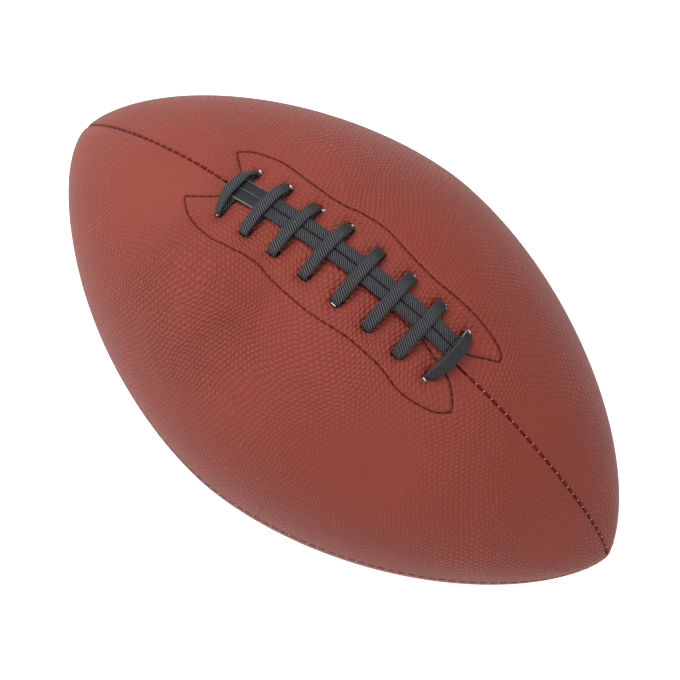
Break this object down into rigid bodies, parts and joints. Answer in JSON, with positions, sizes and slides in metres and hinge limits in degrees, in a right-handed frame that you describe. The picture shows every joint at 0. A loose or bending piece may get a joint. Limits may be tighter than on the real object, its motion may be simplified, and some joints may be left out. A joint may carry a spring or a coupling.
{
  "type": "american football",
  "caption": "Laced american football: four sewn cover panels over an inflated bladder, with a strap lacing, facing stitching and a needle valve.",
  "frame": {"origin": "centre of the ball, halfway between its points and on its long axis", "axes": "+X along the ball from point to point, +Z out through the middle of the lacing, +Y to the right side"},
  "size_m": [0.2856, 0.165, 0.1683],
  "materials": {
    "cover": "pebbled",
    "lining": "woven",
    "facing": "woven",
    "facing_thread": "thread",
    "seam_thread": "thread",
    "lace": "embossed",
    "tongue": "woven",
    "bladder": "moulded",
    "valve": "moulded"
  },
  "bodies": {
    "root": {"panel_laced_left": "cover", "panel_laced_right": "cover", "panel_back_left": "cover", "panel_back_right": "cover", "lining_laced_left": "lining", "lining_laced_right": "lining", "lining_back_left": "lining", "lining_back_right": "lining", "facing_left": "facing", "facing_right": "facing", "facing_thread_left": "facing_thread", "facing_thread_right": "facing_thread", "seam_thread_laced": "seam_thread", "seam_thread_left": "seam_thread", "seam_thread_right": "seam_thread", "seam_thread_back": "seam_thread", "lace": "lace", "tongue": "tongue", "bladder": "bladder", "valve_housing": "valve", "valve_plug": "valve"}
  },
  "joints": []
}
